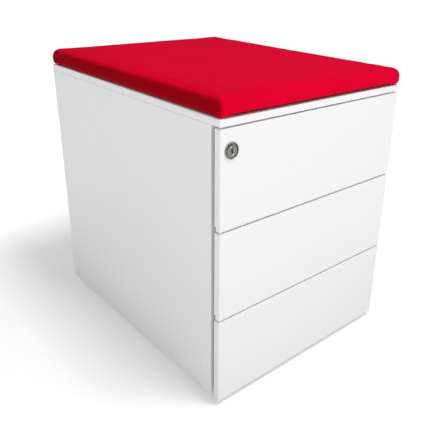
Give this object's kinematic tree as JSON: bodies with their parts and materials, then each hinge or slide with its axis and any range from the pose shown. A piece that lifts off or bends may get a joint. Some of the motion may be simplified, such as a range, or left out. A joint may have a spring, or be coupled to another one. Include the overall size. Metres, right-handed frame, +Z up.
{
  "type": "drawer pedestal with seat pad",
  "caption": "Low white steel filing pedestal on hidden castors, with handleless drawers pulled by their side edges, a central cam lock and a loose red fabric seat pad.",
  "frame": {"origin": "centre of the footprint, on the floor that the castors stand on", "axes": "+Z up, drawers open towards -Y, +X across the width to the right as seen from the front"},
  "size_m": [0.42, 0.538, 0.53],
  "materials": {
    "white_steel": "fine-texture white powder coat",
    "frame_steel": "light grey powder coat",
    "zinc_steel": "zinc plated and rolled",
    "ball_steel": "polished steel",
    "fastener_steel": "zinc plated",
    "lock_nickel": "satin nickel plate",
    "black_plastic": "moulded black nylon",
    "wheel_plastic": "moulded dark grey nylon with a soft tread",
    "black_rubber": "black rubber",
    "board_plastic": "black plastic sheet",
    "red_fabric": "fine plain-weave red wool felt",
    "seat_foam": "cut polyurethane foam"
  },
  "bodies": {
    "cabinet": {"back_panel": "white_steel", "base_pan": "frame_steel", "bottom_outer_slide_left": "zinc_steel", "bottom_outer_slide_right": "zinc_steel", "cabinet_screws": "fastener_steel", "castor_plates": "zinc_steel", "drawer_bumpers": "black_rubber", "front_top_rail": "frame_steel", "front_upright_left": "frame_steel", "front_upright_right": "frame_steel", "lock_bar_guides": "black_plastic", "middle_outer_slide_left": "zinc_steel", "middle_outer_slide_right": "zinc_steel", "rear_upright_left": "frame_steel", "rear_upright_right": "frame_steel", "side_panel_left": "white_steel", "side_panel_right": "white_steel", "top_lid": "white_steel", "top_outer_slide_left": "zinc_steel", "top_outer_slide_right": "zinc_steel"},
    "bottom_cages": {"bottom_ball_cages": "ball_steel"},
    "bottom_drawer": {"bottom_drawer_front": "white_steel", "bottom_drawer_screws": "fastener_steel", "bottom_drawer_tray": "frame_steel", "bottom_front_liner": "frame_steel", "bottom_inner_slide_left": "zinc_steel", "bottom_inner_slide_right": "zinc_steel"},
    "front_left_swivel": {"front_left_castor_fork": "black_plastic"},
    "front_left_roller": {"front_left_castor_wheels": "wheel_plastic"},
    "front_right_swivel": {"front_right_castor_fork": "black_plastic"},
    "front_right_roller": {"front_right_castor_wheels": "wheel_plastic"},
    "locking_bar": {"lock_bar": "zinc_steel"},
    "lock_core": {"lock_cam": "fastener_steel", "lock_plug": "lock_nickel"},
    "top_drawer": {"lock_housing": "lock_nickel", "lock_nut": "fastener_steel", "top_drawer_front": "white_steel", "top_drawer_screws": "fastener_steel", "top_drawer_tray": "frame_steel", "top_front_liner": "frame_steel", "top_inner_slide_left": "zinc_steel", "top_inner_slide_right": "zinc_steel"},
    "middle_cages": {"middle_ball_cages": "ball_steel"},
    "middle_drawer": {"middle_drawer_front": "white_steel", "middle_drawer_screws": "fastener_steel", "middle_drawer_tray": "frame_steel", "middle_front_liner": "frame_steel", "middle_inner_slide_left": "zinc_steel", "middle_inner_slide_right": "zinc_steel"},
    "rear_left_swivel": {"rear_left_castor_fork": "black_plastic"},
    "rear_left_roller": {"rear_left_castor_wheels": "wheel_plastic"},
    "rear_right_swivel": {"rear_right_castor_fork": "black_plastic"},
    "rear_right_roller": {"rear_right_castor_wheels": "wheel_plastic"},
    "seat_pad": {"seat_board": "board_plastic", "seat_cover": "red_fabric", "seat_foam": "seat_foam", "seat_grip_mat": "black_rubber"},
    "top_cages": {"top_ball_cages": "ball_steel"}
  },
  "joints": [
    {"name": "top_drawer_slide", "type": "slide", "parent": "cabinet", "child": "top_drawer", "axis": [0, -1, 0], "range_m": [0, 0.36]},
    {"name": "top_cage_slide", "type": "slide", "parent": "cabinet", "child": "top_cages", "axis": [0, -1, 0], "range_m": [0, 0.18]},
    {"name": "middle_drawer_slide", "type": "slide", "parent": "cabinet", "child": "middle_drawer", "axis": [0, -1, 0], "range_m": [0, 0.36]},
    {"name": "middle_cage_slide", "type": "slide", "parent": "cabinet", "child": "middle_cages", "axis": [0, -1, 0], "range_m": [0, 0.18]},
    {"name": "bottom_drawer_slide", "type": "slide", "parent": "cabinet", "child": "bottom_drawer", "axis": [0, -1, 0], "range_m": [0, 0.36]},
    {"name": "bottom_cage_slide", "type": "slide", "parent": "cabinet", "child": "bottom_cages", "axis": [0, -1, 0], "range_m": [0, 0.18]},
    {"name": "lock_turn", "type": "hinge", "parent": "top_drawer", "child": "lock_core", "pos_m": [-0.1894, -0.268, 0.4526], "axis": [0, 1, 0], "range_deg": [0, 90]},
    {"name": "lock_bar_drop", "type": "slide", "parent": "cabinet", "child": "locking_bar", "axis": [0, 0, -1], "range_m": [0, 0.008]},
    {"name": "seat_lift", "type": "slide", "parent": "cabinet", "child": "seat_pad", "axis": [0, 0, 1], "range_m": [0, 0.15]},
    {"name": "front_left_castor_swivel", "type": "hinge", "parent": "cabinet", "child": "front_left_swivel", "pos_m": [-0.15, -0.19, 0.045], "axis": [0, 0, 1], "continuous": true},
    {"name": "front_left_castor_roll", "type": "hinge", "parent": "front_left_swivel", "child": "front_left_roller", "pos_m": [-0.15, -0.176, 0.02], "axis": [1, 0, 0], "continuous": true},
    {"name": "front_right_castor_swivel", "type": "hinge", "parent": "cabinet", "child": "front_right_swivel", "pos_m": [0.15, -0.19, 0.045], "axis": [0, 0, 1], "continuous": true},
    {"name": "front_right_castor_roll", "type": "hinge", "parent": "front_right_swivel", "child": "front_right_roller", "pos_m": [0.15, -0.176, 0.02], "axis": [1, 0, 0], "continuous": true},
    {"name": "rear_left_castor_swivel", "type": "hinge", "parent": "cabinet", "child": "rear_left_swivel", "pos_m": [-0.15, 0.19, 0.045], "axis": [0, 0, 1], "continuous": true},
    {"name": "rear_left_castor_roll", "type": "hinge", "parent": "rear_left_swivel", "child": "rear_left_roller", "pos_m": [-0.15, 0.204, 0.02], "axis": [1, 0, 0], "continuous": true},
    {"name": "rear_right_castor_swivel", "type": "hinge", "parent": "cabinet", "child": "rear_right_swivel", "pos_m": [0.15, 0.19, 0.045], "axis": [0, 0, 1], "continuous": true},
    {"name": "rear_right_castor_roll", "type": "hinge", "parent": "rear_right_swivel", "child": "rear_right_roller", "pos_m": [0.15, 0.204, 0.02], "axis": [1, 0, 0], "continuous": true}
  ],
  "couplings": [
    {"joint": "top_cage_slide", "follows": "top_drawer_slide", "ratio": 0.5},
    {"joint": "middle_cage_slide", "follows": "middle_drawer_slide", "ratio": 0.5},
    {"joint": "bottom_cage_slide", "follows": "bottom_drawer_slide", "ratio": 0.5},
    {"joint": "lock_turn", "follows": "lock_bar_drop", "rad_per_m": 196.35}
  ]
}
